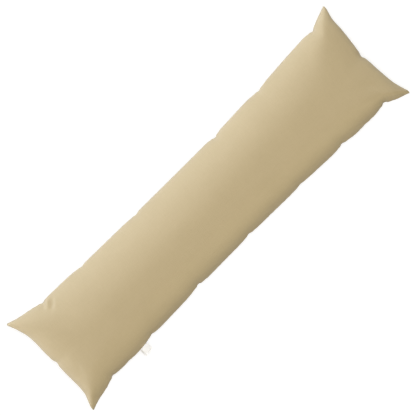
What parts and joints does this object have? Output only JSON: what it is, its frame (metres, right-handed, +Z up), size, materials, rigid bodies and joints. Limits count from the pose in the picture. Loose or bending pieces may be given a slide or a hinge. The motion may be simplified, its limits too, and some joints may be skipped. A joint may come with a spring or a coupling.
{
  "type": "outdoor bench cushion",
  "caption": "Long filled bench cushion with a knife-edge seam, drawn-in puckered sides, pointed corner ears and a blank care ribbon in the front seam.",
  "frame": {"origin": "middle of the bounding box on the surface under the cushion", "axes": "+X along the cushion, +Y across it towards its back seam, +Z up from the surface through the crown; the care ribbon is in the front seam, towards -X"},
  "size_m": [1.432, 0.384, 0.177],
  "materials": {
    "cover_cloth": "matt plain-woven outdoor cloth with a faint sheen, warm beige",
    "ribbon_cloth": "smooth white woven ribbon, blank"
  },
  "bodies": {
    "root": {"cushion": "cover_cloth", "care_ribbon": "ribbon_cloth"}
  },
  "joints": []
}
